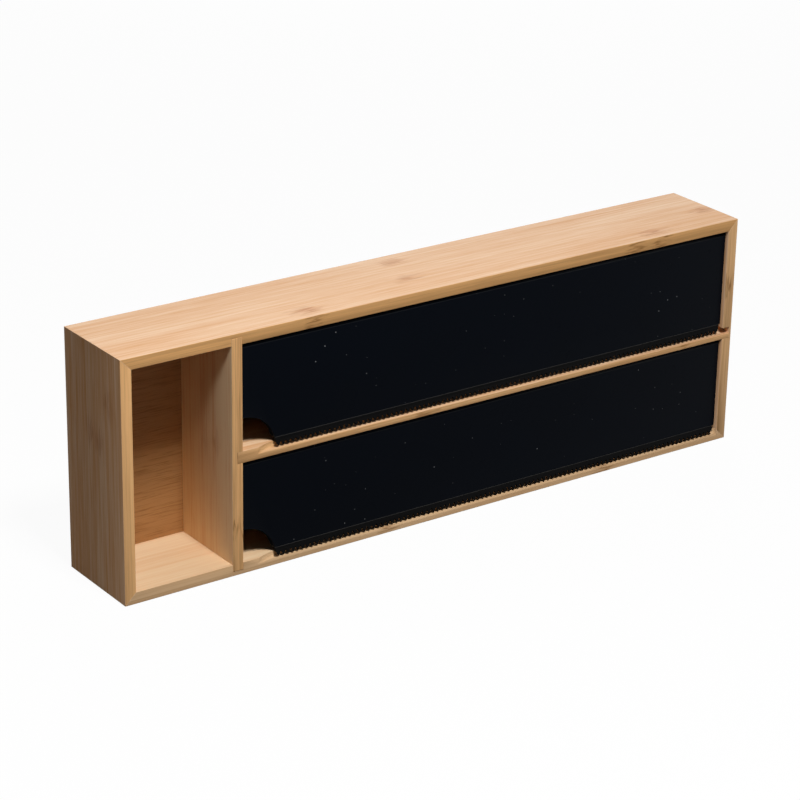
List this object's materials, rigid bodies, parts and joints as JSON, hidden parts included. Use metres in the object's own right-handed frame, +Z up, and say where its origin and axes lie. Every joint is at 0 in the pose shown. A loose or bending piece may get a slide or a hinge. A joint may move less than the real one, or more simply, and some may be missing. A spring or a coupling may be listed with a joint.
{
  "type": "wrap and foil dispenser",
  "caption": "Bamboo kitchen dispenser for rolls of wrap and foil: stacked bays closed by black top-hinged flaps with toothed tear strips, beside an open compartment.",
  "frame": {"origin": "middle of the footprint, on the underside of the bottom board", "axes": "+X along the width to the right as seen from the front, +Y from the front to the back, +Z up"},
  "size_m": [0.5, 0.07, 0.167],
  "materials": {
    "bamboo": "satin lacquered bamboo, long grain",
    "back_bamboo": "thin bamboo panel, grain across the width",
    "spline_wood": "raw",
    "black_flap": "glossy black sheet",
    "black_strip": "satin black moulding",
    "pin_steel": "drawn steel wire",
    "zinc_steel": "zinc plated"
  },
  "bodies": {
    "case_body": {"top_panel": "bamboo", "bottom_panel": "bamboo", "left_side": "bamboo", "right_side": "bamboo", "divider": "bamboo", "shelf": "bamboo", "back_panel": "back_bamboo", "top_left_spline": "spline_wood", "top_right_spline": "spline_wood", "bottom_left_spline": "spline_wood", "bottom_right_spline": "spline_wood", "left_hanger": "zinc_steel", "right_hanger": "zinc_steel", "left_hanger_screws": "zinc_steel", "right_hanger_screws": "zinc_steel"},
    "upper_flap_body": {"upper_flap": "black_flap", "upper_cutter": "black_strip", "upper_left_pin": "pin_steel", "upper_right_pin": "pin_steel"},
    "lower_flap_body": {"lower_flap": "black_flap", "lower_cutter": "black_strip", "lower_left_pin": "pin_steel", "lower_right_pin": "pin_steel"}
  },
  "joints": [
    {"name": "upper_flap_hinge", "type": "hinge", "parent": "case_body", "child": "upper_flap_body", "pos_m": [0, -0.0305, 0.1557], "axis": [-1, 0, 0], "range_deg": [0, 95]},
    {"name": "lower_flap_hinge", "type": "hinge", "parent": "case_body", "child": "lower_flap_body", "pos_m": [0, -0.0305, 0.0747], "axis": [-1, 0, 0], "range_deg": [0, 95]}
  ]
}
